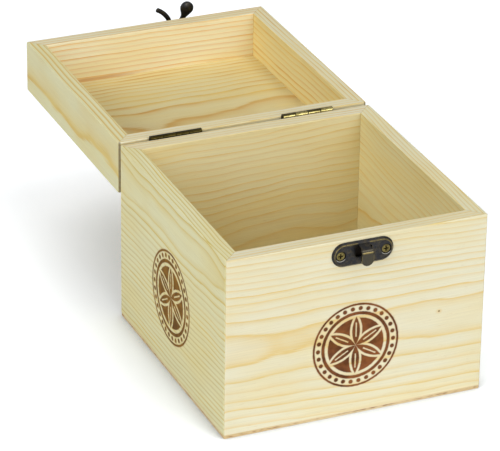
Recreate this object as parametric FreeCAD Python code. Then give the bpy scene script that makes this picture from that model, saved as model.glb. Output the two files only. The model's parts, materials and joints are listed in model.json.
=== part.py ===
import FreeCAD, Part
import math
import os

# Square pine box with mitred corners, its hinged lid turned right over to the back.
# Millimetres. Origin at the centre of the underside, +X right, +Y to the back, +Z up.

# Box and lid
box_width = 130.0
box_depth = 130.0
box_height = 91.0  # underside to rim
lid_height = 26.5  # rim to top
wall_thickness = 8.0
bottom_thickness = 2.0
lid_panel_thickness = 3.0
rebate_width = 4.0  # step inside the lid's walls that the panel lies in
panel_clearance = 0.1  # panel to the walls of that step
bottom_setback = 0.1  # glued bottom stays this far inside the walls
corner_radius = 1.0  # upright corners
edge_radius = 0.5  # rims and the lid's upper edge
panel_arris = 0.3  # bevel along a panel's outer edge
rim_gap = 0.2  # between the rims of the closed box
lid_open_angle = 180.0

# Butt hinges on the outside of the back
hinge_length = 26.5
left_hinge_inset = 15.7  # box side to the hinge's outer end
right_hinge_inset = 19.0
leaf_height = 10.0  # pin axis to the far edge of a leaf
leaf_thickness = 0.7
leaf_corner_radius = 1.0
leaf_notch_clearance = 0.2  # leaf edge to the other leaf's knuckles
knuckle_count = 4
knuckle_gap = 0.15
pin_diameter = 1.3
pin_clearance = 0.05

# Countersunk cross-head screws
screw_backing = 2.5  # wood left behind a screw's point
screw_clearance = 0.03
screw_head_rim = 0.15  # straight edge of a head above its cone
recess_span = 0.62  # of the head's diameter
recess_width = 0.17  # of the head's diameter
recess_depth = 0.2  # of the head's diameter
hinge_screw_head = 3.0
hinge_screw_shank = 1.5
hinge_screw_margin = 5.0  # leaf end to screw axis
plate_screw_head = 4.0
plate_screw_shank = 2.0
plate_screw_sink = 0.3  # head below the plate's face
plate_seat_margin = 0.5  # dished seat around the head
plate_screw_spacing = 22.5

# Pressed plates of the latch, one on the lid and one on the box
plate_length = 30.5
plate_width = 12.0
plate_thickness = 1.4
plate_foot = 0.4  # upright edge below the bevel
plate_bevel = 1.0
plate_rim_distance = 1.3  # rim to the plate's straight edge
latch_offset = 1.9  # to the right of the front's middle

# Hook-shaped tongue bent out of the catch plate
tongue_width = 5.0
tongue_head_width = 6.2
tongue_thickness = 1.0
tongue_reach = 6.2  # wall to the outer face of the head
tongue_droop = 20.0
tongue_bend_radius = 1.1
tongue_root_drop = 2.0  # plate's upper edge to the middle of the root
tongue_hang = 8.5  # middle of the root to the lowest point of the head
tongue_flare = 0.6  # how far behind the head the neck starts to widen
window_width = 8.4
window_height = 5.0
window_corner_radius = 0.8

# Horn that swings on the latch plate, angles from straight down in the latched position
horn_thickness = 1.8
horn_arris = 0.3  # bevel along its outline
horn_clearance = 0.1  # to the boss below and the rivet head above
horn_rest_swing = 38.0  # how far the horn is turned out of the catch
hub_radius = 3.3
arm_middle_width = 3.2
arm_end_width = 2.7
arm_angle = 46.0  # where the claw leaves the arm
arm_end_angle = 33.5
arm_beyond_claw = 8.0
claw_bar = 1.6
claw_play = 0.45  # neck of the tongue to the claw
claw_past_centre = 12.0  # angle that the claw's tip reaches past the neck
tab_radius = 3.5
tab_angle = 25.5
tab_beyond_claw = 11.4
tab_dish_radius = 2.7
tab_dish_depth = 0.35

# Rivet of the horn and its boss on the latch plate
boss_radius = 3.4
boss_height = 0.7
rivet_diameter = 2.0
rivet_head_radius = 2.2
rivet_head_height = 0.9
rivet_tail_radius = 1.9
rivet_tail_height = 0.55
rivet_clearance = 0.05  # running fit in the horn
rivet_seat_clearance = 0.02  # in the plate
pocket_radius = 3.0  # hollow behind the plate for the rivet's tail
pocket_depth = 0.7

# Worked out from the sizes above
tiny = 0.001
inner_width = box_width - 2 * wall_thickness
inner_depth = box_depth - 2 * wall_thickness
knuckle_radius = pin_diameter / 2 + pin_clearance + leaf_thickness
notch_height = knuckle_radius + leaf_notch_clearance
hinge_y = box_depth / 2 + knuckle_radius
hinge_z = box_height + rim_gap / 2
leaf_screw_drop = (leaf_height + notch_height) / 2
lid_rim_z = box_height + rim_gap
lid_top_z = lid_rim_z + lid_height
catch_z = box_height - plate_rim_distance - plate_width / 2
latch_z = lid_rim_z + plate_rim_distance + plate_width / 2
tongue_root = plate_width / 2 - tongue_root_drop
horn_low = plate_thickness + boss_height + horn_clearance


def vec(x, y, z):
    return FreeCAD.Vector(x, y, z)


def polar(radius, angle):
    # Point at an angle from straight down, turning towards +X
    turn = math.radians(angle)
    return vec(radius * math.sin(turn), -radius * math.cos(turn), 0)


def on_front(shape, x, z):
    # Lay a shape drawn in XY, with its face to +Z, on the front wall
    placed = shape.copy()
    placed.rotate(vec(0, 0, 0), vec(1, 0, 0), 90)
    placed.translate(vec(x, -box_depth / 2, z))
    return placed


def on_back(shape, x, z):
    # The same on the back wall
    placed = shape.copy()
    placed.rotate(vec(0, 0, 0), vec(1, 0, 0), -90)
    placed.translate(vec(x, box_depth / 2, z))
    return placed


def opened(shape):
    # Swing a shape from the closed lid's place to the open lid's place
    placed = shape.copy()
    placed.rotate(vec(0, hinge_y, hinge_z), vec(1, 0, 0), -lid_open_angle)
    return placed


def edges_at_height(shape, height):
    return [edge for edge in shape.Edges if all(abs(v.Z - height) < tiny for v in edge.Vertexes)]


def upright_edges(shape):
    tall = [edge for edge in shape.Edges if edge.BoundBox.ZLength > tiny]
    return [edge for edge in tall if edge.BoundBox.XLength < tiny and edge.BoundBox.YLength < tiny]


# Walls and panels

def block(width, depth, low, high):
    return Part.makeBox(width, depth, high - low, vec(-width / 2, -depth / 2, low))


def prism(points, low, high):
    corners = [vec(x, y, low) for x, y in points]
    return Part.Face(Part.makePolygon(corners + corners[:1])).extrude(vec(0, 0, high - low))


def wall_ring(low, high, rim_z):
    # Ring of four walls in one piece, rounded at its corners and its rim
    ring = block(box_width, box_depth, low, high)
    ring = ring.makeFillet(corner_radius, upright_edges(ring))
    ring = ring.cut(block(inner_width, inner_depth, low, high))
    return ring.makeFillet(edge_radius, edges_at_height(ring, rim_z))


def lid_ring():
    # The lid's ring, rounded along its upper edge, with a step inside for the panel
    ring = wall_ring(lid_rim_z, lid_top_z, lid_rim_z)
    outer = []
    for edge in edges_at_height(ring, lid_top_z):
        middle = edge.BoundBox.Center
        if abs(middle.x) > inner_width / 2 + tiny or abs(middle.y) > inner_depth / 2 + tiny:
            outer.append(edge)
    step_width = inner_width + 2 * rebate_width
    step_depth = inner_depth + 2 * rebate_width
    step = block(step_width, step_depth, lid_top_z - lid_panel_thickness, lid_top_z)
    return ring.makeFillet(edge_radius, outer).cut(step)


def mitred_walls(ring, low, high):
    # Four walls sawn apart with wedges along the mitres, from outside the ring to inside it
    out_x = box_width / 2 + wall_thickness
    out_y = box_depth / 2 + wall_thickness
    reach = 3 * wall_thickness
    walls = {}
    for name, side in (("front", -1), ("back", 1)):
        wedge = [(-out_x, side * out_y), (out_x, side * out_y),
                 (out_x - reach, side * (out_y - reach)), (reach - out_x, side * (out_y - reach))]
        walls[name] = ring.common(prism(wedge, low, high)).Solids[0]
    for name, side in (("left", -1), ("right", 1)):
        wedge = [(side * out_x, -out_y), (side * out_x, out_y),
                 (side * (out_x - reach), out_y - reach), (side * (out_x - reach), reach - out_y)]
        walls[name] = ring.common(prism(wedge, low, high)).Solids[0]
    return walls


def box_bottom():
    # Sheet glued under the walls
    sheet = block(box_width - 2 * bottom_setback, box_depth - 2 * bottom_setback, 0, bottom_thickness)
    sheet = sheet.makeFillet(corner_radius, upright_edges(sheet))
    return sheet.makeChamfer(panel_arris, edges_at_height(sheet, 0))


def lid_panel():
    # Board laid in the step of the lid's walls, flush with their upper edge
    grow = 2 * (rebate_width - panel_clearance)
    board = block(inner_width + grow, inner_depth + grow, lid_top_z - lid_panel_thickness, lid_top_z)
    return board.makeChamfer(panel_arris, edges_at_height(board, lid_top_z))


# Screws

def screw_body(head, shank, length, grow, rise):
    # Turned profile with the head's top at z = 0; a hole is the same grown all round
    head_radius = head / 2 + grow
    shank_radius = shank / 2 + grow
    cone_low = -screw_head_rim - (head_radius - shank_radius)
    point_high = -length + shank
    profile = [vec(0, 0, rise), vec(head_radius, 0, rise), vec(head_radius, 0, -screw_head_rim),
               vec(shank_radius, 0, cone_low), vec(shank_radius, 0, point_high), vec(0, 0, -length - grow)]
    face = Part.Face(Part.makePolygon(profile + profile[:1]))
    return face.revolve(vec(0, 0, 0), vec(0, 0, 1), 360)


def screw(head, shank, length):
    body = screw_body(head, shank, length, 0, 0)
    span = head * recess_span
    width = head * recess_width
    depth = head * recess_depth
    along = Part.makeBox(span, width, depth, vec(-span / 2, -width / 2, -depth))
    across = Part.makeBox(width, span, depth, vec(-width / 2, -span / 2, -depth))
    return body.cut(along.fuse(across))


def screw_hole(head, shank, length, rise):
    return screw_body(head, shank, length, screw_clearance, rise)


# Hinges

def knuckle(index):
    pitch = hinge_length / knuckle_count
    start = index * pitch + knuckle_gap / 2
    length = pitch - knuckle_gap
    barrel = Part.makeCylinder(knuckle_radius, length, vec(start, 0, 0), vec(1, 0, 0))
    root = Part.makeBox(length, leaf_thickness, notch_height, vec(start, -knuckle_radius, -notch_height))
    bore = Part.makeCylinder(pin_diameter / 2 + pin_clearance, length, vec(start, 0, 0), vec(1, 0, 0))
    return barrel.fuse(root).cut(bore)


def hinge_leaf(first_knuckle):
    # Leaf hanging below the pin axis, which runs along X through the origin
    plate = Part.makeBox(hinge_length, leaf_thickness, leaf_height - notch_height,
                         vec(0, -knuckle_radius, -leaf_height))
    low_corners = [edge for edge in plate.Edges
                   if edge.BoundBox.ZMax < tiny - leaf_height and edge.BoundBox.XLength < tiny]
    plate = plate.makeFillet(leaf_corner_radius, low_corners)
    knuckles = [knuckle(index) for index in range(first_knuckle, knuckle_count, 2)]
    return plate.fuse(knuckles).removeSplitter()


def leaf_screw_places(hinge_x):
    return [hinge_x + hinge_screw_margin, hinge_x + hinge_length - hinge_screw_margin]


hinge_screw_length = leaf_thickness + wall_thickness - screw_backing
hinge_screw = screw(hinge_screw_head, hinge_screw_shank, hinge_screw_length)
hinge_screw.translate(vec(0, 0, leaf_thickness))
hinge_hole = screw_hole(hinge_screw_head, hinge_screw_shank, hinge_screw_length, leaf_thickness)
hinge_hole.translate(vec(0, 0, leaf_thickness))
hinge_places = {
    "left": left_hinge_inset - box_width / 2,
    "right": box_width / 2 - right_hinge_inset - hinge_length,
}


# Latch

def stadium(length, width, height):
    half = (length - width) / 2
    radius = width / 2
    sides = [
        Part.LineSegment(vec(-half, radius, height), vec(half, radius, height)),
        Part.Arc(vec(half, radius, height), vec(half + radius, 0, height), vec(half, -radius, height)),
        Part.LineSegment(vec(half, -radius, height), vec(-half, -radius, height)),
        Part.Arc(vec(-half, -radius, height), vec(-half - radius, 0, height), vec(-half, radius, height)),
    ]
    return Part.Wire([side.toShape() for side in sides])


plate_screw_length = plate_thickness - plate_screw_sink + wall_thickness - screw_backing
plate_screw_x = (-plate_screw_spacing / 2, plate_screw_spacing / 2)
plate_screw = screw(plate_screw_head, plate_screw_shank, plate_screw_length)
plate_screw.translate(vec(0, 0, plate_thickness - plate_screw_sink))
plate_hole = screw_hole(plate_screw_head, plate_screw_shank, plate_screw_length, plate_screw_sink)
plate_hole.translate(vec(0, 0, plate_thickness - plate_screw_sink))


def latch_plate_blank():
    # Bevelled plate with a dished seat for each screw, face to +Z
    foot = Part.Face(stadium(plate_length, plate_width, 0)).extrude(vec(0, 0, plate_foot))
    low = stadium(plate_length, plate_width, plate_foot)
    high = stadium(plate_length - 2 * plate_bevel, plate_width - 2 * plate_bevel, plate_thickness)
    plate = foot.fuse(Part.makeLoft([low, high], True, True)).removeSplitter()
    seat_low = plate_screw_head / 2 + screw_clearance
    for x in plate_screw_x:
        seat = Part.makeCone(seat_low, seat_low + plate_seat_margin, plate_screw_sink,
                             vec(x, 0, plate_thickness - plate_screw_sink))
        hole = plate_hole.copy()
        hole.translate(vec(x, 0, 0))
        plate = plate.cut(seat.fuse(hole))
    return plate


def tongue_profile():
    # Bent strip seen from the side: x is the distance from the wall, y the height
    droop = math.radians(tongue_droop)
    half = tongue_thickness / 2
    along = vec(math.cos(droop), -math.sin(droop), 0)
    normal = vec(math.sin(droop), math.cos(droop), 0)
    bend_x = tongue_reach - half - tongue_bend_radius
    neck_end_x = bend_x + tongue_bend_radius * normal.x
    neck_end_y = tongue_root - (neck_end_x - plate_thickness) * math.tan(droop)
    neck_end = vec(neck_end_x, neck_end_y, 0)
    bend = neck_end - normal * tongue_bend_radius
    neck_start = neck_end - along * ((neck_end_x - plate_foot) / along.x)
    halfway = math.radians((90 - tongue_droop) / 2)
    middle = vec(math.cos(halfway), math.sin(halfway), 0)
    outer = tongue_bend_radius + half
    inner = tongue_bend_radius - half
    low = tongue_root - tongue_hang
    sides = [
        Part.LineSegment(neck_start + normal * half, bend + normal * outer),
        Part.Arc(bend + normal * outer, bend + middle * outer, bend + vec(outer, 0, 0)),
        Part.LineSegment(bend + vec(outer, 0, 0), vec(bend.x + outer, low, 0)),
        Part.LineSegment(vec(bend.x + outer, low, 0), vec(bend.x + inner, low, 0)),
        Part.LineSegment(vec(bend.x + inner, low, 0), bend + vec(inner, 0, 0)),
        Part.Arc(bend + vec(inner, 0, 0), bend + middle * inner, bend + normal * inner),
        Part.LineSegment(bend + normal * inner, neck_start - normal * half),
        Part.LineSegment(neck_start - normal * half, neck_start + normal * half),
    ]
    return Part.Face(Part.Wire([side.toShape() for side in sides]))


def tongue():
    # Strip of the head's width, with the neck drawn in and the lower end rounded
    strip = tongue_profile()
    strip.rotate(vec(0, 0, 0), vec(0, 1, 0), -90)
    strip.translate(vec(tongue_head_width / 2, 0, 0))
    strip = strip.extrude(vec(-tongue_head_width, 0, 0))
    neck_half = tongue_width / 2
    head_half = tongue_head_width / 2
    head_back = tongue_reach - tongue_thickness
    neck_front = head_back - tongue_flare
    plan = [(neck_half, 0), (neck_half, neck_front), (head_half, head_back), (head_half, tongue_reach),
            (-head_half, tongue_reach), (-head_half, head_back), (-neck_half, neck_front), (-neck_half, 0)]
    corners = [vec(x, -tongue_hang, z) for x, z in plan]
    plan_prism = Part.Face(Part.makePolygon(corners + corners[:1])).extrude(vec(0, 2 * tongue_hang, 0))
    low = tongue_root - tongue_hang + head_half
    drop = Part.makeCylinder(head_half, tongue_reach, vec(0, low, 0))
    upper = Part.makeBox(tongue_head_width, tongue_hang, tongue_reach, vec(-head_half, low, 0))
    return strip.common(plan_prism).common(drop.fuse(upper)).Solids[0]


def catch_plate():
    neck_under = tongue_root - tongue_thickness / 2 / math.cos(math.radians(tongue_droop))
    window = Part.makeBox(window_width, window_height, plate_thickness,
                          vec(-window_width / 2, neck_under - window_height, 0))
    window = window.makeFillet(window_corner_radius, upright_edges(window))
    return latch_plate_blank().cut(window).fuse(tongue()).removeSplitter()


def latch_plate():
    # Plate with a boss under the horn and a hollow behind for the rivet's tail
    boss = Part.makeCylinder(boss_radius, boss_height, vec(0, 0, plate_thickness))
    pocket = Part.makeCylinder(pocket_radius, pocket_depth)
    hole = Part.makeCylinder(rivet_diameter / 2 + rivet_seat_clearance, plate_thickness + boss_height)
    return latch_plate_blank().fuse(boss).cut(pocket.fuse(hole)).removeSplitter()


def latch_rivet():
    head_low = horn_low + horn_thickness + horn_clearance
    tail_low = pocket_depth - rivet_tail_height
    tail = Part.makeCylinder(rivet_tail_radius, rivet_tail_height, vec(0, 0, tail_low))
    shank = Part.makeCylinder(rivet_diameter / 2, head_low - pocket_depth, vec(0, 0, pocket_depth))
    # Low dome, a cap of a large ball
    ball_radius = (rivet_head_radius ** 2 + rivet_head_height ** 2) / (2 * rivet_head_height)
    ball = Part.makeSphere(ball_radius, vec(0, 0, head_low + rivet_head_height - ball_radius))
    keep = Part.makeCylinder(2 * rivet_head_radius, rivet_head_height, vec(0, 0, head_low))
    return tail.fuse([shank, ball.common(keep)]).removeSplitter()


def claw_radius():
    # From the rivet to the middle of the claw, which passes under the tongue's neck
    droop = math.radians(tongue_droop)
    claw_front = horn_low + horn_thickness / 2 + claw_bar / 2
    neck_middle = tongue_root - (claw_front - plate_thickness) * math.tan(droop)
    neck_under = neck_middle - tongue_thickness / 2 / math.cos(droop)
    return latch_z - (catch_z + neck_under) + claw_play + claw_bar / 2


def tangent_point(outside, centre, radius, side):
    # Where the line from a point outside a circle touches it
    gap = outside - centre
    turn = side * math.acos(radius / gap.Length)
    unit = gap * (1 / gap.Length)
    turned = vec(unit.x * math.cos(turn) - unit.y * math.sin(turn),
                 unit.x * math.sin(turn) + unit.y * math.cos(turn), 0)
    return centre + turned * radius


def horn_side(radius, arm_end, tab, side):
    # One edge of the horn, from the hub along the curved arm to the tab's round
    hub_way = polar(1, arm_angle)
    hub_across = vec(-hub_way.y, hub_way.x, 0) * side
    end_way = (tab - arm_end).normalize()
    end_across = vec(-end_way.y, end_way.x, 0) * side
    elbow = hub_way * radius + hub_across * (arm_middle_width / 2)
    arm_corner = arm_end + end_across * (arm_end_width / 2)
    touch = tangent_point(arm_corner, tab, tab_radius, -side)
    curve = Part.BSplineCurve()
    curve.interpolate(Points=[hub_across * hub_radius, elbow, arm_corner, touch],
                      InitialTangent=hub_way, FinalTangent=touch - arm_corner)
    return curve


def horn_outline(radius, tab):
    # Hub that narrows into a curved arm and ends in a drop-shaped tab
    arm_end = polar(radius + arm_beyond_claw, arm_end_angle)
    right = horn_side(radius, arm_end, tab, 1)
    left = horn_side(radius, arm_end, tab, -1)
    tab_end = tab + (tab - arm_end).normalize() * tab_radius
    sides = [
        right,
        Part.Arc(right.EndPoint, tab_end, left.EndPoint),
        left,
        Part.Arc(left.StartPoint, polar(-hub_radius, arm_angle), right.StartPoint),
    ]
    return Part.Face(Part.Wire(Part.sortEdges([side.toShape() for side in sides])[0]))


def latch_horn():
    radius = claw_radius()
    tab = polar(radius + tab_beyond_claw, tab_angle)
    horn = horn_outline(radius, tab).extrude(vec(0, 0, horn_thickness))
    rims = edges_at_height(horn, 0) + edges_at_height(horn, horn_thickness)
    horn = horn.makeChamfer(horn_arris, rims)
    ball_radius = (tab_dish_radius ** 2 + tab_dish_depth ** 2) / (2 * tab_dish_depth)
    dish = Part.makeSphere(ball_radius, tab + vec(0, 0, horn_thickness - tab_dish_depth + ball_radius))
    horn = horn.cut(dish)
    # Round bar of the claw, concentric with the rivet, with a round tip
    middle = vec(0, 0, horn_thickness / 2)
    start = polar(radius, arm_angle) + middle
    section = Part.Face(Part.Wire(Part.makeCircle(claw_bar / 2, start, polar(1, arm_angle + 90))))
    claw = section.revolve(middle, vec(0, 0, 1), -(arm_angle + claw_past_centre))
    tip = Part.makeSphere(claw_bar / 2, polar(radius, -claw_past_centre) + middle,
                          polar(1, -claw_past_centre - 90), 0, 90, 360)
    bore = Part.makeCylinder(rivet_diameter / 2 + rivet_clearance, horn_thickness)
    horn = horn.fuse([claw, tip]).removeSplitter().cut(bore)
    horn.translate(vec(0, 0, horn_low))
    horn.rotate(vec(0, 0, 0), vec(0, 0, 1), horn_rest_swing)
    return horn


# Put the pieces together
parts = {}
box_ring = wall_ring(bottom_thickness, box_height, box_height)
box_walls = mitred_walls(box_ring, bottom_thickness, box_height)
lid_walls = mitred_walls(lid_ring(), lid_rim_z, lid_top_z)
box_screws = []
lid_screws = []
for side, hinge_x in hinge_places.items():
    box_leaf = hinge_leaf(1)
    lid_leaf = hinge_leaf(0).mirror(vec(0, 0, 0), vec(0, 0, 1))
    for leaf in (box_leaf, lid_leaf):
        leaf.translate(vec(hinge_x, hinge_y, hinge_z))
    for x in leaf_screw_places(hinge_x):
        box_hole = on_back(hinge_hole, x, hinge_z - leaf_screw_drop)
        lid_hole = on_back(hinge_hole, x, hinge_z + leaf_screw_drop)
        box_leaf = box_leaf.cut(box_hole)
        lid_leaf = lid_leaf.cut(lid_hole)
        box_walls["back"] = box_walls["back"].cut(box_hole)
        lid_walls["back"] = lid_walls["back"].cut(lid_hole)
        box_screws.append(on_back(hinge_screw, x, hinge_z - leaf_screw_drop))
        lid_screws.append(opened(on_back(hinge_screw, x, hinge_z + leaf_screw_drop)))
    parts[side + "_hinge_box_leaf"] = box_leaf
    parts[side + "_hinge_lid_leaf"] = opened(lid_leaf)
    parts[side + "_hinge_pin"] = Part.makeCylinder(pin_diameter / 2, hinge_length,
                                                   vec(hinge_x, hinge_y, hinge_z), vec(1, 0, 0))

catch_screws = []
latch_screws = []
for x in plate_screw_x:
    screw_x = latch_offset + x
    box_walls["front"] = box_walls["front"].cut(on_front(plate_hole, screw_x, catch_z))
    lid_walls["front"] = lid_walls["front"].cut(on_front(plate_hole, screw_x, latch_z))
    catch_screws.append(on_front(plate_screw, screw_x, catch_z))
    latch_screws.append(opened(on_front(plate_screw, screw_x, latch_z)))

for side, wall in box_walls.items():
    parts["box_" + side] = wall
for side, wall in lid_walls.items():
    parts["lid_" + side] = opened(wall)
parts["box_bottom"] = box_bottom()
parts["lid_panel"] = opened(lid_panel())
parts["box_hinge_screws"] = Part.makeCompound(box_screws)
parts["lid_hinge_screws"] = Part.makeCompound(lid_screws)
parts["catch_plate"] = on_front(catch_plate(), latch_offset, catch_z)
parts["catch_screws"] = Part.makeCompound(catch_screws)
parts["latch_plate"] = opened(on_front(latch_plate(), latch_offset, latch_z))
parts["latch_screws"] = Part.makeCompound(latch_screws)
parts["latch_rivet"] = opened(on_front(latch_rivet(), latch_offset, latch_z))
parts["latch_horn"] = opened(on_front(latch_horn(), latch_offset, latch_z))

os.makedirs("parts", exist_ok=True)
for name, shape in sorted(parts.items()):
    shape.exportStep("parts/" + name + ".step")
    state = "valid" if shape.isValid() else "invalid"
    print(name, len(shape.Solids), "solids", round(shape.Volume, 1), "mm3", state)
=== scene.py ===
import json
import math

import bmesh
import bpy
from mathutils import Matrix, Vector


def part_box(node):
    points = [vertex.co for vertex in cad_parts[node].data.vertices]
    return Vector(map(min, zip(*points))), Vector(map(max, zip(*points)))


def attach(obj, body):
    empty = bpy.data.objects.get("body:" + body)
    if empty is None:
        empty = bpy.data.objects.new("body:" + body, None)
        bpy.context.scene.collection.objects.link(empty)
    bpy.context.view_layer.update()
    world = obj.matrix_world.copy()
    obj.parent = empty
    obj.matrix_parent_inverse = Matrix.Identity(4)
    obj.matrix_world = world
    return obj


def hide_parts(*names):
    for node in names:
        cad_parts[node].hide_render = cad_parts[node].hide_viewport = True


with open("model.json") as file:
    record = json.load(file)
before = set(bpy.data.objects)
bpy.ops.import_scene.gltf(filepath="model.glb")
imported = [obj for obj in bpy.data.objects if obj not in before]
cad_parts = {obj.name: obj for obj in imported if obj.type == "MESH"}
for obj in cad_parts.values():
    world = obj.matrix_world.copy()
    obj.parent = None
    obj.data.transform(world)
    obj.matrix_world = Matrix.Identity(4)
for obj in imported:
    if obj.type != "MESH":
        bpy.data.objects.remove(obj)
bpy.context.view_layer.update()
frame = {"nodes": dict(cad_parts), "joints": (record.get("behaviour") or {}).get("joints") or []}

nodes = frame["nodes"]
mm = 0.001  # sizes are in millimetres where nothing else is said
print("frame loaded,", len(nodes), "pieces")


def millimetres(corners):
    return [corner / mm for corner in corners]


# Corners, middles and faces of the box and of the open lid

boxLow, boxHigh = millimetres(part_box("box_left"))
lidLow, lidHigh = millimetres(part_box("lid_left"))
bottomLow, bottomHigh = millimetres(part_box("box_bottom"))
boxMiddle = Vector((0, (boxLow.y + boxHigh.y) / 2, (bottomLow.z + boxHigh.z) / 2))
lidMiddle = Vector((0, (lidLow.y + lidHigh.y) / 2, (lidLow.z + lidHigh.z) / 2))
frontFace = millimetres(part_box("box_front"))[0].y
leftFace = boxLow.x
lidBackFace = millimetres(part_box("lid_back"))[0].y
panelFace = millimetres(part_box("lid_panel"))[1].z


def srgb(red, green, blue):
    # screen colour 0 to 255, as a linear colour for a socket
    linear = []
    for level in (red, green, blue):
        share = level / 255
        linear.append(share / 12.92 if share <= 0.04045 else ((share + 0.055) / 1.055) ** 2.4)
    return (*linear, 1)


def clouds(x, y, z, detail=2.0, roughness=0.5):
    # noise with this many clouds to a millimetre on each axis
    return {"often": (x, y, z), "detail": detail, "roughness": roughness}


class Wire:
    # one value in a finish, used in sums like a number
    def __init__(self, finish, socket):
        self.finish = finish
        self.socket = socket

    def math(self, operation, *others):
        values = dict(enumerate((self, *others)))
        return self.finish.add("Math", {"operation": operation}, values)

    def flip(self, operation, other):
        return self.finish.add("Math", {"operation": operation}, {0: other, 1: self})

    def __add__(self, other):
        return self.math("ADD", other)

    def __radd__(self, other):
        return self.flip("ADD", other)

    def __sub__(self, other):
        return self.math("SUBTRACT", other)

    def __rsub__(self, other):
        return self.flip("SUBTRACT", other)

    def __mul__(self, other):
        return self.math("MULTIPLY", other)

    def __rmul__(self, other):
        return self.flip("MULTIPLY", other)

    def __truediv__(self, other):
        return self.math("DIVIDE", other)

    def __rtruediv__(self, other):
        return self.flip("DIVIDE", other)

    def __abs__(self):
        return self.math("ABSOLUTE")

    def least(self, other):
        return self.math("MINIMUM", other)

    def most(self, other):
        return self.math("MAXIMUM", other)

    def swing(self):
        # noise lies round a half, and this round zero
        return self - 0.5

    def fade(self, low, high):
        # 0 below low, 1 above high, soft between; low may be the larger one
        values = {"Value": self, "From Min": low, "From Max": high}
        return self.finish.add("MapRange", {"interpolation_type": "SMOOTHSTEP"}, values)


class Finish:
    # a material and its nodes
    rays = 6  # for each look at edges and corners

    def __init__(self, name):
        self.material = bpy.data.materials.new(name)
        self.material.use_nodes = True
        self.tree = self.material.node_tree
        self.tree.nodes.clear()

    def add(self, kind, settings=None, values=None, out=0):
        node = self.tree.nodes.new("ShaderNode" + kind)
        for key, value in (settings or {}).items():
            if key == "stops":  # level at each place of a ramp
                ramp = node.color_ramp
                while len(ramp.elements) < len(value):
                    ramp.elements.new(0.5)
                for element, (place, level) in zip(ramp.elements, value):
                    element.position = place
                    element.color = (level, level, level, 1)
            else:
                setattr(node, key, value)
        for key, value in (values or {}).items():
            if isinstance(value, Wire):
                self.tree.links.new(value.socket, node.inputs[key])
            else:
                node.inputs[key].default_value = value
        return Wire(self, node.outputs[out]) if node.outputs else None

    def place(self):
        # where a point lies on the object, in millimetres
        point = self.add("TexCoord", out="Object")
        scaled = self.add("VectorMath", {"operation": "SCALE"}, {0: point, "Scale": 1 / mm})
        return [self.add("SeparateXYZ", None, {0: scaled}, out) for out in range(3)]

    def point(self, x, y, z):
        return self.add("CombineXYZ", None, {0: x, 1: y, 2: z})

    def noise(self, spot, look, shift=(0, 0, 0)):
        values = {"Vector": self.point(*spot), "Location": shift, "Scale": look["often"]}
        moved = self.add("Mapping", None, values)
        values = {"Vector": moved, "Scale": 1.0, "Detail": look["detail"], "Roughness": look["roughness"]}
        return self.add("TexNoise", None, values)

    def chance(self, value, seed):
        # one steady random value for each whole number
        return self.add("TexWhiteNoise", {"noise_dimensions": "2D"}, {"Vector": self.point(value, seed, 0)})

    def ramp(self, value, stops):
        return self.add("ValToRGB", {"stops": stops}, {0: value})

    def mix(self, amount, first, second, blend="MIX"):
        settings = {"data_type": "RGBA", "blend_type": blend, "clamp_factor": True}
        return self.add("Mix", settings, {0: amount, 6: first, 7: second}, 2)

    def shaded(self, colour, level):
        return self.mix(1.0, colour, self.point(level, level, level), "MULTIPLY")

    def facing(self, axis):
        # how squarely the surface faces along one axis, 0 to 1
        normal = self.add("NewGeometry", out="Normal")
        return abs(self.add("SeparateXYZ", None, {0: normal}, axis))

    def edges(self, radius, low=0.01, high=0.16):
        # 1 on sharp and rounded edges, 0 on the flats
        flat = self.add("NewGeometry", out="Normal")
        rounded = self.add("Bevel", {"samples": self.rays}, {"Radius": radius * mm})
        alike = self.add("VectorMath", {"operation": "DOT_PRODUCT"}, {0: flat, 1: rounded}, 1)
        return (1 - alike).fade(low, high)

    def corners(self, distance, low=0.15, high=0.85):
        # 1 deep in corners and gaps, 0 in the open
        free = self.add("AmbientOcclusion", {"samples": self.rays}, {"Distance": distance * mm}, 1)
        return (1 - free).fade(low, high)

    def bump(self, height, depth, strength=0.5):
        values = {"Height": height, "Distance": depth * mm, "Strength": strength}
        return self.add("Bump", None, values)

    def surface(self, **values):
        named = {key.replace("_", " "): value for key, value in values.items()}
        shader = self.add("BsdfPrincipled", None, named)
        self.add("OutputMaterial", None, {"Surface": shader})
        return self.material


def length(first, second):
    return (first * first + second * second).math("SQRT")


def toWhole(value):
    # distance to the nearest whole number
    return abs((value + 0.5).math("FRACT") - 0.5)


def onPlane(value, plane, limits):
    # limits: distances from the plane where nothing is left, and where all of it is there
    return abs(value - plane).fade(*limits)


def paint(node, material):
    # the CAD piece keeps its shape and gets a finer finish
    slots = nodes[node].data.materials
    slots.clear()
    slots.append(material)


# Outline that both latch plates share in x and z, and where their screws sit

plateLow, plateHigh = millimetres(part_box("catch_plate"))
plateMiddle = (plateLow + plateHigh) / 2
plateRadius = (plateHigh.z - plateLow.z) / 2
plateHalf = (plateHigh.x - plateLow.x) / 2 - plateRadius  # middle to the centre of a round end
screwLow, screwHigh = millimetres(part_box("catch_screws"))
screwRadius = (screwHigh.z - screwLow.z) / 2
screwOut = (screwHigh.x - screwLow.x) / 2 - screwRadius


def plateDistance(x, z):
    # from the plate's middle line
    out = (abs(x - plateMiddle.x) - plateHalf).most(0)
    return length(out, z - plateMiddle.z)


def screwDistance(x, z):
    # from the axis of the nearer screw
    return length(abs(x - plateMiddle.x) - screwOut, z - plateMiddle.z)


# Pine boards

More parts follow.
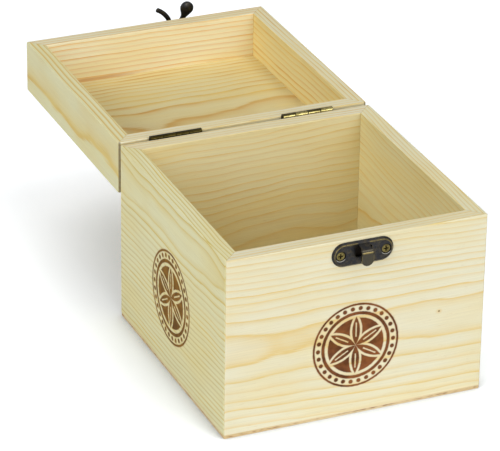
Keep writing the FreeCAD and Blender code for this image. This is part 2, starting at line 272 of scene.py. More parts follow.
pine = {
    "early": srgb(240, 234, 208),  # pale wood of a year's first half
    "warm": srgb(240, 229, 192),  # warmer patches of it
    "late": srgb(236, 211, 144),  # amber line at the end of a year
    "lateDark": srgb(228, 192, 114),
    # strength of the line through a year
    "yearLine": [(0.0, 0.12), (0.12, 0.0), (0.5, 0.04), (0.78, 0.42), (0.93, 1.0), (1.0, 0.12)],
    "faintest": 0.45,  # share of it in the faintest year
    # noises: along the grain, across the board and through it
    "sway": clouds(0.012, 0.016, 0.016),  # wandering of the pith across the board
    "lean": clouds(0.014, 0.016, 0.016),  # and through it
    "ripple": clouds(0.035, 0.05, 0.05, 1.0),
    "rippleYears": 0.5,  # how far ripples move a line
    "fibre": clouds(0.05, 1.4, 1.4, 3.0),
    "fibreYears": 0.2,
    "fibreShade": 0.06,
    "fibreHeight": 0.4,
    "streak": clouds(0.03, 3.0, 3.0, 4.0, 0.6),
    "streakShade": 0.24,
    "streakHeight": 0.5,
    "streakRough": 0.2,
    "lineHeight": 0.4,
    "lineGloss": 0.1,  # late wood is this much smoother
    "patch": clouds(0.02, 0.07, 0.07),
    "patchRange": (0.35, 0.7),
    "rich": clouds(0.03, 0.1, 0.1),  # where late wood turns dark
    "richRange": (0.4, 0.75),
    "heart": (24.0, 6.0),  # across from the pith, where lines begin to turn dark and where they are
    "heartRich": 0.8,
    "pore": clouds(0.22, 4.5, 4.5, 1.0),
    "poreRange": (0.7, 0.78),
    "poreColour": srgb(206, 172, 118),
    "poreShare": 0.35,
    "rimLines": 0.3,  # extra lines for each millimetre through a board, seen on the rims
    "rimContrast": 0.6,  # stronger lines there
    "rimFacing": (0.7, 0.95),  # how squarely up a rim faces
    "glue": srgb(176, 150, 104),
    "glueWidth": (0.16, 0.048),  # where the hairline ends, and where it is full
    "glueShare": 0.6,
    "innerSkin": (0.6, 0.2),  # as onPlane takes them, for what lies on an inner face
    "outerSkin": (1.2, 0.8),
    "roughness": 0.62,
    "gloss": 0.1,
    "bumpDepth": 0.06,
}

# Each board: axes along the grain, across the board and through it, the pith's place on the last two, the
# width of a year, how much the rings drift across for each millimetre along, years added for each millimetre
# across, how far the pith wanders across and through, a seed for the noises, how strong the lines are, the
# board's own tone, on the left boards with a painted yellowish shade, and the painted shade and bounce light
# of its inner face; late and lateDark where its lines have their own colour, box_left's late darkened as
# painted shade
boards = {
    "box_front": {"axes": "xzy", "pith": (49, -41), "year": 3.0, "slope": 0.035, "slant": 0.069, "sway": 4,
                  "lean": 5, "seed": 3.1, "contrast": 1.1, "toneAndShade": (1, 1.01, 0.99, 1),
                  "inside": (0.98, 0.94, 0.78, 1), "lateDark": srgb(236, 206, 136)},
    "box_back": {"axes": "xzy", "pith": (20, 96), "year": 3.2, "slope": -0.02, "slant": 0.03, "sway": 6,
                 "lean": 12, "seed": 11.7, "contrast": 0.9, "toneAndShade": (1, 1, 0.97, 1),
                 "inside": (0.98, 0.94, 0.78, 1)},
    "box_left": {"axes": "yzx", "pith": (77, -50), "year": 2.6, "slope": 0.02, "slant": 0.0, "sway": 6,
                 "lean": 9, "seed": 21.3, "contrast": 1.45, "toneAndShade": (0.99, 1.01, 0.84, 1),
                 "inside": (0.98, 0.94, 0.78, 1), "late": srgb(219, 203, 152),
                 "lateDark": srgb(226, 198, 108)},
    "box_right": {"axes": "yzx", "pith": (35, 28), "year": 2.9, "slope": -0.03, "slant": 0.04, "sway": 6,
                  "lean": 12, "seed": 31.9, "contrast": 0.9, "toneAndShade": (1, 1.01, 0.93, 1),
                  "inside": (0.98, 0.94, 0.78, 1)},
    "lid_front": {"axes": "xzy", "pith": (30, 178), "year": 2.7, "slope": 0.01, "slant": 0.0, "sway": 2,
                  "lean": 5, "seed": 41.2, "contrast": 1.25, "toneAndShade": (1, 1, 0.95, 1),
                  "inside": (1.08, 1.06, 1.05, 1), "late": srgb(234, 200, 134),
                  "lateDark": srgb(228, 182, 112)},
    "lid_back": {"axes": "xzy", "pith": (38, 90), "year": 2.4, "slope": -0.01, "slant": 0.0, "sway": 4,
                 "lean": 8, "seed": 52.8, "contrast": 0.9, "toneAndShade": (1, 1, 0.95, 1),
                 "inside": (0.98, 0.93, 0.74, 1)},
    "lid_left": {"axes": "yzx", "pith": (96, -35), "year": 12.0, "slope": 0.03, "slant": 0.0, "sway": 12,
                 "lean": 12, "seed": 61.93, "contrast": 1.2, "toneAndShade": (0.97, 0.99, 0.82, 1),
                 "inside": (0.98, 0.93, 0.74, 1)},
    "lid_right": {"axes": "yzx", "pith": (40, 40), "year": 3.0, "slope": 0.01, "slant": 0.0, "sway": 2,
                  "lean": 4, "seed": 73.5, "contrast": 1.25, "toneAndShade": (1, 1, 0.92, 1),
                  "inside": (1.0, 0.92, 0.69, 1), "lateDark": srgb(222, 180, 104)},
    "lid_panel": {"axes": "xyz", "pith": (124, -20), "year": 2.0, "slope": 0.02, "slant": 0.0, "sway": 8,
                  "lean": 4, "seed": 83.6, "contrast": 1.4, "toneAndShade": (1, 0.98, 0.9, 1),
                  "inside": (0.93, 0.88, 0.69, 1), "lateDark": srgb(218, 172, 104)},
}


def middleOf(node):
    return lidMiddle if node.startswith("lid") else boxMiddle


def innerFace(node, axis):
    # place of a board's inner face on the axis through the board
    low, high = [corner[axis] for corner in millimetres(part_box(node))]
    middle = middleOf(node)[axis]
    return low if abs(low - middle) < abs(high - middle) else high


def yearRings(f, board, grain):
    # rings round a pith that wanders along the board; gives the line and the fibre noise
    along, across, deep = grain
    seed = board["seed"]
    pithAcross, pithDeep = board["pith"]
    sway = f.noise(grain, pine["sway"], (seed, 0, 0)).swing()
    lean = f.noise(grain, pine["lean"], (0, seed, seed)).swing()
    ripple = f.noise(grain, pine["ripple"], (seed, 0, seed)).swing()
    fibre = f.noise(grain, pine["fibre"], (0, seed, 0))
    offAcross = across - pithAcross + along * board["slope"] + sway * board["sway"]
    offDeep = deep - pithDeep + lean * board["lean"]
    years = length(offAcross, offDeep) / board["year"]
    years = years + abs(deep - pithDeep) * pine["rimLines"] + across * board["slant"]
    years = years + ripple * pine["rippleYears"] + fibre.swing() * pine["fibreYears"] + seed
    year = years.math("FLOOR")
    strength = pine["faintest"] + (1 - pine["faintest"]) * f.chance(year, seed)
    line = f.ramp(years - year, pine["yearLine"]) * strength
    return line, fibre


def pineColour(f, board, grain, line, fibre, contrast):
    # gives the colour and the streak noise
    seed = board["seed"]
    patch = f.noise(grain, pine["patch"], (seed, 0, 0)).fade(*pine["patchRange"])
    colour = f.mix(patch, pine["early"], pine["warm"])
    heart = abs(grain[1] - board["pith"][0]).fade(*pine["heart"])
    richer = f.noise(grain, pine["rich"], (0, 0, seed)).fade(*pine["richRange"])
    richer = richer.most(heart * pine["heartRich"])
    late = f.mix(richer, board.get("late", pine["late"]), board.get("lateDark", pine["lateDark"]))
    colour = f.mix(line * contrast, colour, late)
    streak = f.noise(grain, pine["streak"], (0, 0, seed))
    shade = 1 + streak.swing() * pine["streakShade"] + fibre.swing() * pine["fibreShade"]
    colour = f.shaded(colour, shade)
    pore = f.noise(grain, pine["pore"], (seed, 0, 0)).fade(*pine["poreRange"])
    return f.mix(pore * pine["poreShare"], colour, pine["poreColour"]), streak


def mitreGlue(node, x, y):
    # hairline where two boards meet at a corner
    gap = abs(abs(x) - abs(y - middleOf(node).y))
    return gap.fade(*pine["glueWidth"]) * pine["glueShare"]


def pineBoard(node, board, marks):
    f = Finish("pine_" + node)
    spot = f.place()
    x, y, z = spot
    order = ["xyz".index(axis) for axis in board["axes"]]
    grain = [spot[axis] for axis in order]
    line, fibre = yearRings(f, board, grain)
    contrast = board["contrast"]
    if board["axes"][1] == "z":
        contrast = contrast + f.facing(2).fade(*pine["rimFacing"]) * pine["rimContrast"]
    colour, streak = pineColour(f, board, grain, line, fibre, contrast)
    if node != "lid_panel":
        colour = f.mix(mitreGlue(node, x, y), colour, pine["glue"])
    inside = onPlane(grain[2], innerFace(node, order[2]), pine["innerSkin"])
    # inner faces take a painted warm shade and bounce light, the lid's far wall a painted brighter light
    innerShadeTone = [own * inner for own, inner in zip(board["toneAndShade"], board["inside"])]
    colour = f.mix(1.0, colour, f.mix(inside, board["toneAndShade"], innerShadeTone), "MULTIPLY")
    height = fibre * pine["fibreHeight"] + streak * pine["streakHeight"] + line * pine["lineHeight"]
    rough = pine["roughness"] + streak.swing() * pine["streakRough"] - line * pine["lineGloss"]
    for mark in marks:
        colour, rough, height = mark(f, spot, colour, rough, height)
    normal = f.bump(height, pine["bumpDepth"])
    gloss = pine["gloss"]
    paint(node, f.surface(Base_Color=colour, Roughness=rough, Normal=normal, Specular_IOR_Level=gloss))


# Pin knot on the front

knot = {
    "place": (41.9, 45.4),  # across and up on the face
    "radius": 0.5,
    "coreRadius": 0.25,  # where its colour is full
    "long": 1.3,  # how much longer than high
    "colour": srgb(132, 92, 48),
    "cover": 0.9,
    "depth": 2.0,
    "haloRadius": 1.7,
    "haloColour": srgb(230, 200, 128),
    "haloCover": 0.5,
}


def pinKnot(f, spot, colour, rough, height):
    x, y, z = spot
    centreX, centreZ = knot["place"]
    away = length((x - centreX) / knot["long"], z - centreZ)
    onFace = onPlane(y, frontFace, pine["outerSkin"])
    halo = away.fade(knot["haloRadius"], knot["radius"]) * onFace
    core = away.fade(knot["radius"], knot["coreRadius"]) * onFace
    colour = f.mix(halo * knot["haloCover"], colour, knot["haloColour"])
    return f.mix(core * knot["cover"], colour, knot["colour"]), rough, height - core * knot["depth"]


# Painted shade on the wood behind the catch's window

windowShade = {
    "colour": srgb(38, 31, 24),
    "margin": 0.8,  # plate's edge to the dark patch
    "blur": 0.4,
}


def catchShade(f, spot, colour, rough, height):
    x, y, z = spot
    edge = plateRadius - windowShade["margin"]
    # the wood under the plate is painted dark, a painted shade that the window shows
    behind = plateDistance(x, z).fade(edge, edge - windowShade["blur"])
    behind = behind * onPlane(y, frontFace, pine["outerSkin"])
    return f.mix(behind, colour, windowShade["colour"]), rough, height


# Painted shade on the ends of the lid's back, as far in as the gap at the hinges shows them

endShade = {
    "colour": srgb(104, 86, 48),
    "width": (1.5, 1.05),  # from the end, where it stops and where it is full
    "skin": (0.6, 0.3),
    "cover": 0.65,
}


def lidEndShade(f, spot, colour, rough, height):
    x, y, z = spot
    # painted shade, standing in for the dark of the gap at the hinges
    end = (-lidLow.x - abs(x)).fade(*endShade["width"]) * onPlane(y, lidBackFace, endShade["skin"])
    return f.mix(end * endShade["cover"], colour, endShade["colour"]), rough, height


# Rich late wood and painted contact shade along the foot of the lid's front, inside

footGrainAndShade = {
    "colour": srgb(214, 160, 98),
    "height": (3.4, 1.7),  # above the panel, where it stops and where it is full
    "end": (4.0, -30.0),  # the same along the board
    "wave": clouds(0.06, 0.06, 0.3),
    "waveHeight": 1.5,
    "cover": 0.75,
}


def amberFootAndShade(f, spot, colour, rough, height):
    x, y, z = spot
    wave = f.noise(spot, footGrainAndShade["wave"]) * footGrainAndShade["waveHeight"]
    low = (z - panelFace + wave).fade(*footGrainAndShade["height"]) * x.fade(*footGrainAndShade["end"])
    low = low * onPlane(y, innerFace("lid_front", 1), pine["innerSkin"])
    # amber late wood, partly a painted contact shade where the wall meets the panel
    return f.mix(low * footGrainAndShade["cover"], colour, footGrainAndShade["colour"]), rough, height


# Ornaments burned into the front and the left side

rosette = {
    # centre across and up on the face, and the lighter and the darker burn
    "front": {"centre": (0.0, 36.0), "scale": 1.0, "burnt": srgb(138, 78, 36), "deep": srgb(88, 42, 14)},
    "side": {"centre": (0.0, 41.0), "scale": 1.08, "burnt": srgb(147, 101, 30), "deep": srgb(98, 61, 9)},
    "petals": 6,
    "radius": 14.6,  # centre to a petal's tip
    "petalHalf": 1.95,  # half of a petal's width
    "vein": 0.3,  # half width of the bare line along each petal
    "veinEnds": (0.3, 0.8),  # shares of the radius
    "margin": 1.15,  # bare wood between a petal and the wedge beside it
    "innerRing": (15.6, 17.2),
    "beadRing": 18.85,
    "beads": 30,
    "beadRadius": 1.05,
    "outerRing": (20.5, 21.5),
}
scorch = {
    "cloud": clouds(0.13, 0.13, 0.13, 4.0, 0.6),
    "cloudRange": (0.32, 0.68),
    "wander": clouds(0.9, 0.9, 0.9),
    "wanderWidth": 0.35,  # how far an edge wanders
    "soft": 0.2,  # how far it blurs
    "cover": 0.97,
    "roughness": 0.12,
    "depth": 1.6,
    "halo": srgb(216, 180, 124),
    "haloWidth": 0.8,
    "haloCover": 0.3,
}


def petals(across, up):
    # pointed petals struck with compasses, and the wedges between them; below zero inside
    radius = rosette["radius"]
    half = rosette["petalHalf"]
    margin = rosette["margin"]
    sweep = (radius * radius / 4 + half * half) / (2 * half)  # compass setting
    step = 2 * math.pi / rosette["petals"]
    away = length(across, up)
    turn = across.math("ARCTAN2", up)
    fold = toWhole(turn / step) * step  # 0 on a petal's middle line
    out = away * fold.math("COSINE")
    side = away * fold.math("SINE")
    arc = length(out - radius / 2, side + sweep - half) - sweep
    veinStart, veinEnd = [share * radius for share in rosette["veinEnds"]]
    vein = (rosette["vein"] - side).least(out - veinStart).least(veinEnd - out)
    wedge = (margin - arc).most(away - radius + margin / 2)
    return arc.most(vein).least(wedge), away, turn


def band(away, limits):
    low, high = limits
    return abs(away - (low + high) / 2) - (high - low) / 2


def beads(away, turn):
    step = 2 * math.pi / rosette["beads"]
    fold = toWhole(turn / step + 0.5) * step  # 0 on a bead's middle line
    out = away * fold.math("COSINE") - rosette["beadRing"]
    side = away * fold.math("SINE")
    return length(out, side) - rosette["beadRadius"]


def rosetteShape(across, up):
    shape, away, turn = petals(across, up)
    for ring in ("innerRing", "outerRing"):
        shape = shape.least(band(away, rosette[ring]))
    return shape.least(beads(away, turn))


def burnIn(look, acrossAxis, deepAxis, face):
    # lays the rosette on the outer face of a board
    def burn(f, spot, colour, rough, height):
        centreAcross, centreUp = look["centre"]
        across = (spot["xyz".index(acrossAxis)] - centreAcross) / look["scale"]
        up = (spot[2] - centreUp) / look["scale"]
        wander = f.noise(spot, scorch["wander"]).swing()
        edge = rosetteShape(across, up) + wander * scorch["wanderWidth"]
        onFace = onPlane(spot["xyz".index(deepAxis)], face, pine["outerSkin"])
        mark = edge.fade(scorch["soft"], -scorch["soft"]) * onFace
        halo = edge.fade(scorch["haloWidth"], 0.0) * onFace
        cloud = f.noise(spot, scorch["cloud"]).fade(*scorch["cloudRange"])
        burnt = f.mix(cloud, look["burnt"], look["deep"])
        colour = f.mix(halo * scorch["haloCover"], colour, scorch["halo"])
        colour = f.mix(mark * scorch["cover"], colour, burnt)
        return colour, rough + mark * scorch["roughness"], height - mark * scorch["depth"]
    return burn


boardMarks = {
    "box_front": [burnIn(rosette["front"], "x", "y", frontFace), pinKnot, catchShade],
    "box_left": [burnIn(rosette["side"], "y", "x", leftFace)],
    "lid_front": [amberFootAndShade],
    "lid_back": [lidEndShade],
}
for boardNode, board in boards.items():
    pineBoard(boardNode, board, boardMarks.get(boardNode, []))
print("pine boards finished")


# Plywood bottom

plywood = {
    "face": srgb(236, 220, 178),
    "faceLine": srgb(222, 196, 142),
    "figure": clouds(0.012, 0.16, 0.2, 3.0),
    "figureShift": (5, 0, 0),
    "figureRange": (0.4, 0.66),
    "core": srgb(222, 194, 148),
    "coreDark": srgb(164, 118, 84),
    "coreFibre": clouds(0.35, 0.35, 2.0, 3.0),
    "coreRange": (0.45, 0.65),
    "veneer": 0.7,  # thickness of each outer ply
    "veneerBlur": 0.08,
    "wave": clouds(0.04, 0.04, 0.2),
    "waveHeight": 0.35,  # how far the plies wave
    "edgeFacing": (0.85, 0.6),  # how squarely up or down a face is, from the flats to the edge
    "grain": clouds(0.03, 1.1, 1.1, 4.0, 0.6),
    "grainShade": 0.2,
    "grainRough": 0.2,
    "roughness": 0.7,
    "bumpDepth": 0.08,
}


def plywoodSheet(node):
    f = Finish("plywood_" + node)
    spot = f.place()
    figure = f.noise(spot, plywood["figure"], plywood["figureShift"]).fade(*plywood["figureRange"])
    veneer = f.mix(figure, plywood["face"], plywood["faceLine"])
    fibre = f.noise(spot, plywood["coreFibre"])
    core = f.mix(fibre.fade(*plywood["coreRange"]), plywood["core"], plywood["coreDark"])
    high = spot[2] - bottomLow.z + f.noise(spot, plywood["wave"]).swing() * plywood["waveHeight"]
    blur = plywood["veneerBlur"]
    lower = plywood["veneer"]
    upper = bottomHigh.z - bottomLow.z - plywood["veneer"]
    inCore = high.fade(lower - blur, lower + blur) * high.fade(upper + blur, upper - blur)
    colour = f.mix(inCore * f.facing(2).fade(*plywood["edgeFacing"]), veneer, core)
    grain = f.noise(spot, plywood["grain"])
    colour = f.shaded(colour, 1 + grain.swing() * plywood["grainShade"])
    rough = plywood["roughness"] + grain.swing() * plywood["grainRough"]
    normal = f.bump(grain + inCore * fibre, plywood["bumpDepth"])
    paint(node, f.surface(Base_Color=colour, Roughness=rough, Normal=normal))


plywoodSheet("box_bottom")
print("plywood finished")


# Brass of the hinges and screws, with painted shade and dark reflection on the barrels

brass = {
    # barrel of each hinge, leaves of both and all screws; recess: shares of cover between which it turns
    # dark, grime in the hinges' hollows and painted shade in the screws' cross recesses
    # the left hinge is the same brass in darker colours: painted shade and dark reflection
    "left": {"bright": srgb(52, 45, 19), "dull": srgb(38, 33, 11), "seed": 2.0, "recess": (0.15, 0.85)},
    "right": {"bright": srgb(178, 166, 110), "dull": srgb(104, 92, 46), "seed": 5.0, "recess": (0.15, 0.85)},
    "leaf": {"bright": srgb(156, 143, 88), "dull": srgb(94, 82, 42)},
    "screw": {"bright": srgb(124, 112, 66), "dull": srgb(74, 64, 36), "seed": 9.0, "recess": (0.04, 0.3)},
    "cloud": clouds(0.35, 0.35, 0.35, 4.0, 0.6),
    "tarnishRange": (0.38, 0.72),
    "tarnishShare": 0.8,
    "tarnishRough": 0.14,
    "grimeAndShade": srgb(36, 30, 12),
    "grimeRough": 0.2,
    "recessReach": 1.2,
    "recessShare": 0.9,
    "roughness": 0.2,
}
barrel = {
    "knuckles": 4,
    "knuckleBlur": 0.01,
    "joint": (0.35, 0.175),  # from the middle of the dark line between knuckles, where it ends and is full
    "upperShadeShare": (0.68, 0.94),  # painted shade and dark reflection above, less on the second and fourth knuckle
    "upperShadeRange": (-0.1, 0.45),  # heights over the pin
    "upperShadeLean": 0.5,  # how much lower it comes behind, for each millimetre
    "rim": (0.5, 0.1),  # outside the barrel, where its finish ends and is full
}


def barrelJointsAndPaintedShade(spot, leaf):
    # dark joints between knuckles, and painted shade and dark reflection on the barrel above and behind;
    # gives the barrel itself too
    x, y, z = spot
    low, high = millimetres(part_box(leaf))
    pin = sum(millimetres(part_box(leaf.replace("box_leaf", "pin"))), Vector()) / 2
    pitch = (high.x - low.x) / barrel["knuckles"]
    count = (x - low.x) / pitch
    joint = (toWhole(count) * pitch).fade(*barrel["joint"])
    blur = barrel["knuckleBlur"]
    firstOfTwo = (count / 2).math("FRACT").fade(0.5 + blur, 0.5 - blur)
    less, more = barrel["upperShadeShare"]
    rise = z - pin.z
    back = y - pin.y
    # painted shade and dark reflection on the upper, back side of the barrel
    upper = (rise + back * barrel["upperShadeLean"]).fade(*barrel["upperShadeRange"])
    upper = upper * (less + firstOfTwo * (more - less))
    end, full = [high.y - pin.y + margin for margin in barrel["rim"]]
    onBarrel = length(back, rise).fade(end, full)
    return joint.most(upper) * onBarrel, onBarrel


def brassFinish(name, look, leaf=None):
    f = Finish(name)
    spot = f.place()
    tarnish = f.noise(spot, brass["cloud"], (look["seed"], 0, 0)).fade(*brass["tarnishRange"])
    colour = f.mix(tarnish * brass["tarnishShare"], look["bright"], look["dull"])
    # grime in the hinges' hollows, painted shade in the screws' cross recesses
    grimeAndShade = f.corners(brass["recessReach"], *look["recess"]) * brass["recessShare"]
    if leaf:
        barrelJointsAndShade, onBarrel = barrelJointsAndPaintedShade(spot, leaf)
        flat = f.mix(tarnish * brass["tarnishShare"], brass["leaf"]["bright"], brass["leaf"]["dull"])
        colour = f.mix(onBarrel, flat, colour)
        grimeAndShade = grimeAndShade.most(barrelJointsAndShade)
    colour = f.mix(grimeAndShade, colour, brass["grimeAndShade"])
    rough = brass["roughness"] + tarnish * brass["tarnishRough"] + grimeAndShade * brass["grimeRough"]
    return f.surface(Base_Color=colour, Metallic=1.0, Roughness=rough)


for side in ("left", "right"):
    hingeBrass = brassFinish("hinge_brass_" + side, brass[side], side + "_hinge_box_leaf")
    for piece in ("_hinge_box_leaf", "_hinge_lid_leaf", "_hinge_pin"):
        paint(side + piece, hingeBrass)
screwBrass = brassFinish("screw_brass_dull", brass["screw"])
for node in ("box_hinge_screws", "lid_hinge_screws", "catch_screws", "latch_screws"):
    paint(node, screwBrass)
print("brass finished")


# Dark bronze of the latch, worn to brass on its edges, with painted highlights and painted shade on the
# plates

bronze = {
    "plate": {"wear": 0.9, "darkness": 0.0, "seed": 4.0},
    "horn": {"wear": 0.35, "darkness": 0.35, "seed": 14.0},
    "dark": srgb(50, 50, 52),
    "brown": srgb(72, 66, 54),
    "black": srgb(18, 17, 16),
    "wornAndHighlight": srgb(116, 103, 64),
    "cloud": clouds(0.5, 0.5, 0.5, 4.0, 0.65),
    "brownRange": (0.4, 0.7),
    "speck": clouds(1.5, 1.5, 1.5, 3.0, 0.6),
    "speckRange": (0.48, 0.75),
    "speckShare": 0.6,
    "speckRough": 0.3,
    "gapReach": 1.5,
    "gapShare": 0.95,
    "gapRough": 0.1,
    "edgeRadius": 0.3,
    "edgeRange": (0.25, 0.6),  # clouds that leave an edge dark, and that show all of its wear
    "edgeGloss": 0.1,
    "roughness": 0.34,
    "bumpDepth": 0.03,
}
# Both plates; heights are above the plate's middle
plate = {
    "depth": 1.4,
    "bevel": 1.0,  # plate's edge to the line where its bevel ends
    "bevelShade": 0.3,  # painted shade makes the upper bevel this much blacker
    "bevelRange": (0.1, 0.4),  # outside that line
    "bevelHeight": (0.0, 2.0),
    "line": (0.36, 0.1),  # from the middle of the worn line, a painted highlight on its upper side too, where it ends and is full
    "lineHeight": (-4.5, 2.0),
    "lineSpecks": (0.3, 0.5),
    "lineGap": (2.6, 3.2),  # half of the break at the tongue's root
    "edgeWear": 0.5,  # share of wear on the plate's other edges
    "seat": (0.6, 0.45),  # painted shade in a ring round a screw, where it ends and is full
    "seatHighlight": srgb(186, 182, 170),  # painted highlight, a bright sickle below that ring
    "seatHighlightWidth": (0.2, 0.08),
    "seatHighlightDepth": (1.2, 1.9),  # below the plate's middle
    "seatHighlightShare": 0.6,
}
tongue = {
    "colour": srgb(73, 69, 57),
    "cover": 0.7,
    "headDepth": (1.3, 0.8),  # from the face of the head, where it ends and is full
    "headHalf": 3.1,  # half of the head's width
    "bendStart": (1.4, 1.8),  # where wear and a painted highlight on the bend begin and are full
    "bendEnd": (2.5, 2.1),  # where it ends and is still full
    "cornerWidth": 0.9,  # dark corners at the ends of the bend
    "cornerHeight": (0.4, 1.4),
    "cornerShade": 0.7,
    "sideWearAndHighlight": (0.6, 0.1),  # from the head's sides, where wear and a painted highlight end and are full
    "sideHeight": (1.4, 0.0),
    "sideShare": 0.5,
    "neckRange": (0.1, 0.6),  # in front of the plate
    "neckShade": 0.4,
}


def plateWearAndHighlight(x, y, z, speck):
    # worn brass and a painted highlight show along the bevel's upper line, on the bend of the tongue and
    # along the sides of its head
    rise = z - plateMiddle.z
    out = abs(x - plateMiddle.x)
    line = onPlane(plateDistance(x, z), plateRadius - plate["bevel"], plate["line"])
    line = line * rise.fade(*plate["lineHeight"]) * speck.fade(*plate["lineSpecks"])
    line = line * out.fade(*plate["lineGap"])
    head = (y - plateLow.y).fade(*tongue["headDepth"])
    half = tongue["headHalf"]
    bendWearAndHighlight = head * rise.fade(*tongue["bendStart"]) * rise.fade(*tongue["bendEnd"])
    bendWearAndHighlight = bendWearAndHighlight * out.fade(half, half - tongue["cornerWidth"])
    side = head * onPlane(out, half, tongue["sideWearAndHighlight"]) * tongue["sideShare"]
    side = side * rise.fade(*tongue["sideHeight"])
    return line.most(bendWearAndHighlight).most(side), head


def plateShade(x, y, z, head):
    # painted shade keeps the bevel's upper side, the neck of the tongue and the upper corners of its head
    # black
    rise = z - plateMiddle.z
    start, full = [plateRadius - plate["bevel"] + out for out in plate["bevelRange"]]
    bevel = plateDistance(x, z).fade(start, full) * rise.fade(*plate["bevelHeight"])
    neck = (plateHigh.y - plate["depth"] - y).fade(*tongue["neckRange"])
    half = tongue["headHalf"]
    corner = neck * abs(x - plateMiddle.x).fade(half - tongue["cornerWidth"], half)
    corner = corner * rise.fade(*tongue["cornerHeight"])
    shade = (bevel * plate["bevelShade"]).most(neck * tongue["neckShade"])
    return (shade * (1 - head)).most(corner * tongue["cornerShade"])


def paintedSeatHighlight(away, z):
    # painted highlight on the lower side of each screw seat
    seatHighlight = onPlane(away, plate["seat"][0], plate["seatHighlightWidth"])
    return seatHighlight * (plateMiddle.z - z).fade(*plate["seatHighlightDepth"]) * plate["seatHighlightShare"]


def bronzeFinish(name):
    look = bronze[name]
    isPlate = name == "plate"
    f = Finish("bronze_" + name)
    spot = f.place()
    x, y, z = spot
    cloud = f.noise(spot, bronze["cloud"], (look["seed"], 0, 0))
    speck = f.noise(spot, bronze["speck"], (0, look["seed"], 0))
    colour = f.mix(cloud.fade(*bronze["brownRange"]), bronze["dark"], bronze["brown"])
    colour = f.mix(speck.fade(*bronze["speckRange"]) * bronze["speckShare"], colour, bronze["black"])
    gap = f.corners(bronze["gapReach"])
    edge = f.edges(bronze["edgeRadius"]) * (1 - gap) * cloud.fade(*bronze["edgeRange"])
    height = speck + cloud
    if isPlate:
        wornAndHighlight, head = plateWearAndHighlight(x, y, z, speck)
        colour = f.mix(head * tongue["cover"], colour, tongue["colour"])
        edge = (edge * (plate["edgeWear"] + head * (1 - plate["edgeWear"]))).most(wornAndHighlight)
        away = screwDistance(x, z) - screwRadius
        # painted shade: the screw seats, the upper bevel, the neck and the head's corners go black
        gap = gap.most(away.fade(*plate["seat"])).most(plateShade(x, y, z, head))
        height = height * (1 - head)
    colour = f.mix(edge * look["wear"], colour, bronze["wornAndHighlight"])
    colour = f.mix(gap * bronze["gapShare"], colour, bronze["black"])
    colour = f.mix(look["darkness"], colour, bronze["black"])
    # painted highlight in the screw seats
    if isPlate:
        colour = f.mix(paintedSeatHighlight(away, z), colour, plate["seatHighlight"])
    rough = bronze["roughness"] + speck.swing() * bronze["speckRough"]
    rough = rough + gap * bronze["gapRough"] - edge * bronze["edgeGloss"]
    normal = f.bump(height, bronze["bumpDepth"])
    return f.surface(Base_Color=colour, Metallic=1.0, Roughness=rough, Normal=normal)


plateBronze = bronzeFinish("plate")
hornBronze = bronzeFinish("horn")
for node in ("catch_plate", "latch_plate"):
    paint(node, plateBronze)
paint("latch_rivet", hornBronze)
print("bronze finished")


# Horn of the latch: the CAD piece with a broader claw

horn = {
    "hub": 6.0,  # rivet to past the hub
    "clawTurns": (30.0, 50.0),  # degrees from straight up, a stretch with nothing but the claw
    "root": (76.0, 64.0),  # where the claw leaves the arm, and where it is full
    "inward": 0.3,  # extra width towards the rivet, which leaves some play on the tongue
    "outward": 0.6,
    "slack": 1.01,  # times the claw's half width that still counts as the claw
    "weld": 0.001,
    "sharpest": 35.0,  # degrees, steeper edges stay sharp
}


def broadHorn():
    rivet = next(joint for joint in frame["joints"] if joint["name"] == "horn_swing")["pos_m"]
    shape = bmesh.new()
    shape.from_mesh(nodes["latch_horn"].data)
    bmesh.ops.remove_doubles(shape, verts=shape.verts, dist=horn["weld"] * mm)
    spots = []
    for vert in shape.verts:
        away = Vector((vert.co.x - rivet[0], vert.co.z - rivet[2])) / mm
        spots.append((vert, away.length, math.degrees(math.atan2(away.x, away.y))))
    low, high = horn["clawTurns"]
    reach = [radius for vert, radius, turn in spots if low < turn < high and radius > horn["hub"]]
    middle = (min(reach) + max(reach)) / 2
    half = (max(reach) - min(reach)) / 2
    rootTurn, fullTurn = horn["root"]
    for vert, radius, turn in spots:
        share = (radius - middle) / half
        if abs(share) > horn["slack"] or turn > rootTurn:
            continue
        extra = share * horn["outward" if share > 0 else "inward"]
        grow = 1 + extra * min(1, (rootTurn - turn) / (rootTurn - fullTurn)) / radius
        vert.co.x = rivet[0] + (vert.co.x - rivet[0]) * grow
        vert.co.z = rivet[2] + (vert.co.z - rivet[2]) * grow
    data = bpy.data.meshes.new("latch_horn_broad")
    shape.to_mesh(data)
    shape.free()
    data.shade_smooth()
    data.set_sharp_from_angle(angle=math.radians(horn["sharpest"]))
    data.materials.append(hornBronze)
    piece = bpy.data.objects.new("latch_horn_broad", data)
    bpy.context.scene.collection.objects.link(piece)
    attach(piece, "horn")
    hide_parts("latch_horn")


broadHorn()
print("horn made")


# Floor, lamps and camera

studio = {
    "floorHalf": 3.0,  # metres
    "floorColour": (0.82, 0.82, 0.82, 1),
    "floorSeen": (0.8, 0.845, 0.89, 1),  # the floor where the camera sees it
    "floorGlow": 0.58,  # lifts it to white outside the shadow
    # reach in millimetres and shares of cover that take the lift away, a painted shadow under the lid
    # and at the walls' foot
    "cover": [(140.0, 0.3, 0.66), (10.0, 0.1, 0.5)],
    "worldColour": (1, 1, 1, 1),
    "worldLevel": 0.225,
    "aim": (0.0, 0.04, 0.05),  # metres
    "lamps": {
        # place and size in metres, power in watts
        "key": {"place": (0.7, -3.5, 1.0), "size": 1.8, "power": 50.0},
        "fill": {"place": (-2.9, -0.95, 1.9), "size": 2.0, "power": 53.0},
        "top": {"place": (0.6, -0.7, 2.8), "size": 1.3, "power": 24.0},
    },
}


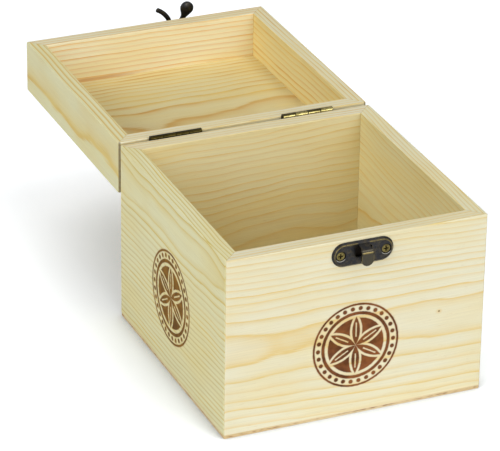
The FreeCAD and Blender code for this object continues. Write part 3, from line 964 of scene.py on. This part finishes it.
def seenDirectly(f):
    # camera, mirror and glass rays see the white studio
    seen = f.add("LightPath", out="Is Camera Ray")
    for kind in ("Is Glossy Ray", "Is Transmission Ray"):
        seen = seen.most(f.add("LightPath", out=kind))
    return seen


def studioFloor():
    bpy.ops.mesh.primitive_plane_add(size=2 * studio["floorHalf"])
    floor = bpy.context.object
    floor.name = "studio_floor"
    f = Finish("studio_white")
    matte = f.add("BsdfDiffuse", None, {"Color": studio["floorColour"]})
    white = f.add("BsdfDiffuse", None, {"Color": studio["floorSeen"]})
    glow = f.add("Emission", None, {"Strength": studio["floorGlow"]})
    lifted = f.add("AddShader", None, {0: white, 1: glow})
    # painted shadow: cover takes the lift away under the lid and at the walls' foot
    shadowFar, shadowNear = [f.corners(*cover) for cover in studio["cover"]]
    lifted = f.add("MixShader", None, {0: shadowFar.most(shadowNear), 1: lifted, 2: white})
    shown = f.add("MixShader", None, {0: seenDirectly(f), 1: matte, 2: lifted})
    f.add("OutputMaterial", None, {"Surface": shown})
    floor.data.materials.append(f.material)


class Surround(Finish):
    # the studio's world
    def __init__(self, world):
        world.use_nodes = True
        self.tree = world.node_tree
        self.tree.nodes.clear()


def studioWorld():
    world = bpy.data.worlds.new("studio_world")
    bpy.context.scene.world = world
    f = Surround(world)
    level = studio["worldLevel"]
    strength = level + (1 - level) * seenDirectly(f)
    sky = f.add("Background", None, {"Color": studio["worldColour"], "Strength": strength})
    f.add("OutputWorld", None, {"Surface": sky})


def studioLamps():
    for name, lamp in studio["lamps"].items():
        light = bpy.data.lights.new(name + "_lamp", "AREA")
        light.size = lamp["size"]
        light.energy = lamp["power"]
        holder = bpy.data.objects.new(name + "_lamp", light)
        way = Vector(studio["aim"]) - Vector(lamp["place"])
        holder.location = lamp["place"]
        holder.rotation_euler = way.to_track_quat("-Z", "Y").to_euler()
        bpy.context.scene.collection.objects.link(holder)


photoCamera = {
    "azimuth": -23.43,  # degrees, negative is left of the front
    "elevation": 26.53,
    "roll": 0.88,
    "distance": 1556.0,
    "target": (-25.37, 0.0, 71.49),
    "focal": 3342.0,  # in pixels of the picture
    "pictureWidth": 500,
    "sensor": 36.0,
    "clip": (0.01, 50.0),  # metres
}


def studioCamera():
    angles = [photoCamera[key] for key in ("azimuth", "elevation", "roll")]
    azimuth, elevation, roll = [math.radians(angle) for angle in angles]
    level = Vector((math.cos(azimuth), math.sin(azimuth), 0))
    nearer = Vector((math.sin(azimuth), -math.cos(azimuth), 0))
    back = nearer * math.cos(elevation) + Vector((0, 0, math.sin(elevation)))
    upright = back.cross(level)
    right = level * math.cos(roll) + upright * math.sin(roll)
    up = upright * math.cos(roll) - level * math.sin(roll)
    eye = (Vector(photoCamera["target"]) + back * photoCamera["distance"]) * mm
    lens = bpy.data.cameras.new("photo_camera")
    lens.sensor_fit = "HORIZONTAL"
    lens.sensor_width = photoCamera["sensor"]
    lens.lens = photoCamera["focal"] / photoCamera["pictureWidth"] * photoCamera["sensor"]
    lens.clip_start, lens.clip_end = photoCamera["clip"]
    camera = bpy.data.objects.new("photo_camera", lens)
    turn = Matrix((right, up, back)).transposed().to_4x4()
    camera.matrix_world = Matrix.Translation(eye) @ turn
    bpy.context.scene.collection.objects.link(camera)
    bpy.context.scene.camera = camera


studioFloor()
studioWorld()
studioLamps()
studioCamera()
bpy.context.scene.view_settings.view_transform = "Standard"
print("studio set")
